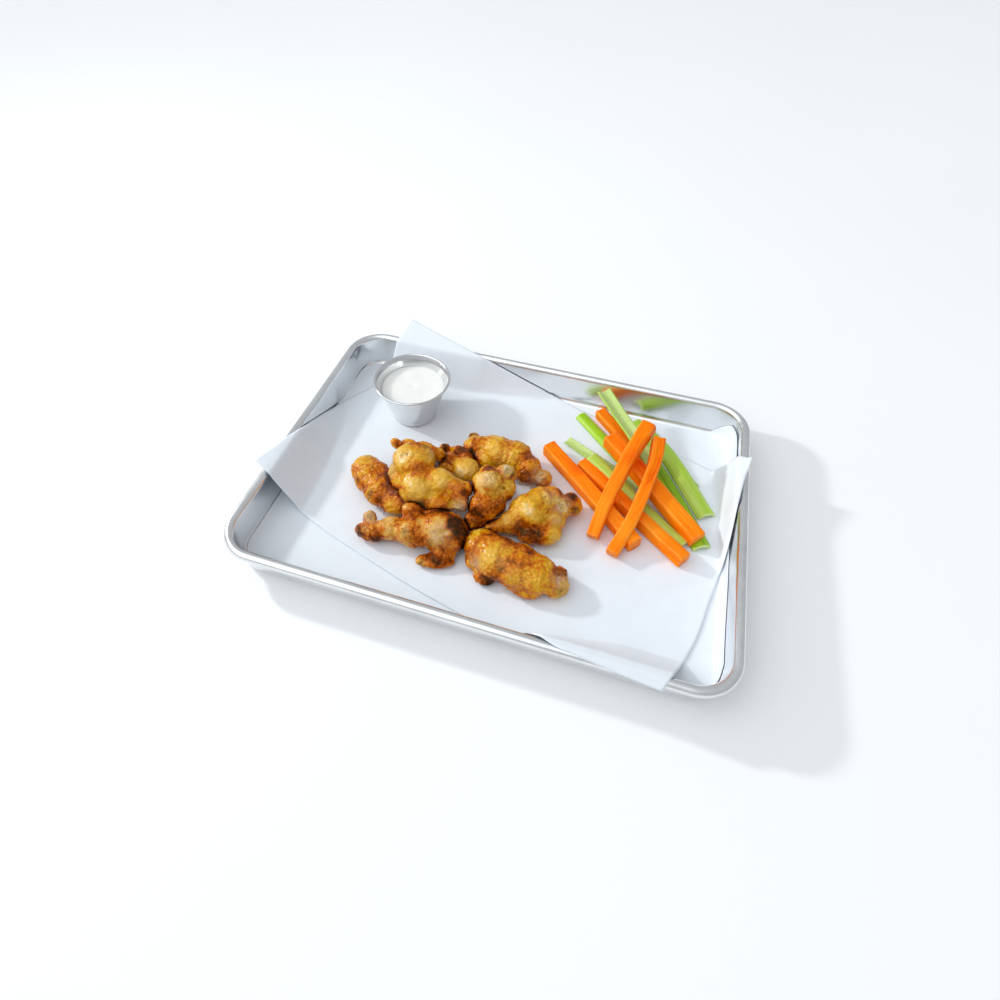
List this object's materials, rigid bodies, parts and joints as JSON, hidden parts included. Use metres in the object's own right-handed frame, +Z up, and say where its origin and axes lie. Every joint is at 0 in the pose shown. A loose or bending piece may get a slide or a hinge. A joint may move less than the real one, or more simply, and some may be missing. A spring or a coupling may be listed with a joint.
{
  "type": "chicken wings serving",
  "caption": "Roasted chicken wings with a steel cup of white dip, carrot and celery sticks on paper liners in a rimmed aluminium sheet tray.",
  "frame": {"origin": "middle of the tray's underside", "axes": "+X along the tray's long side towards the vegetable sticks, +Y towards the tray's back, +Z up"},
  "size_m": [0.3352, 0.2531, 0.0445],
  "materials": {
    "tray": "satin",
    "liner": "matte",
    "cup": "polished",
    "dip": "satin",
    "wing": "satin",
    "carrot": "satin",
    "celery": "satin"
  },
  "bodies": {
    "root": {"tray": "tray", "liner_lower": "liner", "liner_upper": "liner", "sauce_cup": "cup", "dip": "dip", "flat_left": "wing", "drumette_low": "wing", "flat_front": "wing", "drumette_right": "wing", "flat_back": "wing", "drumette_back": "wing", "drumette_centre": "wing", "drumette_top": "wing", "carrot_1": "carrot", "carrot_2": "carrot", "carrot_3": "carrot", "carrot_4": "carrot", "carrot_5": "carrot", "carrot_6": "carrot", "celery_1": "celery", "celery_2": "celery", "celery_3": "celery", "celery_4": "celery", "celery_5": "celery", "celery_6": "celery", "celery_7": "celery"}
  },
  "joints": []
}
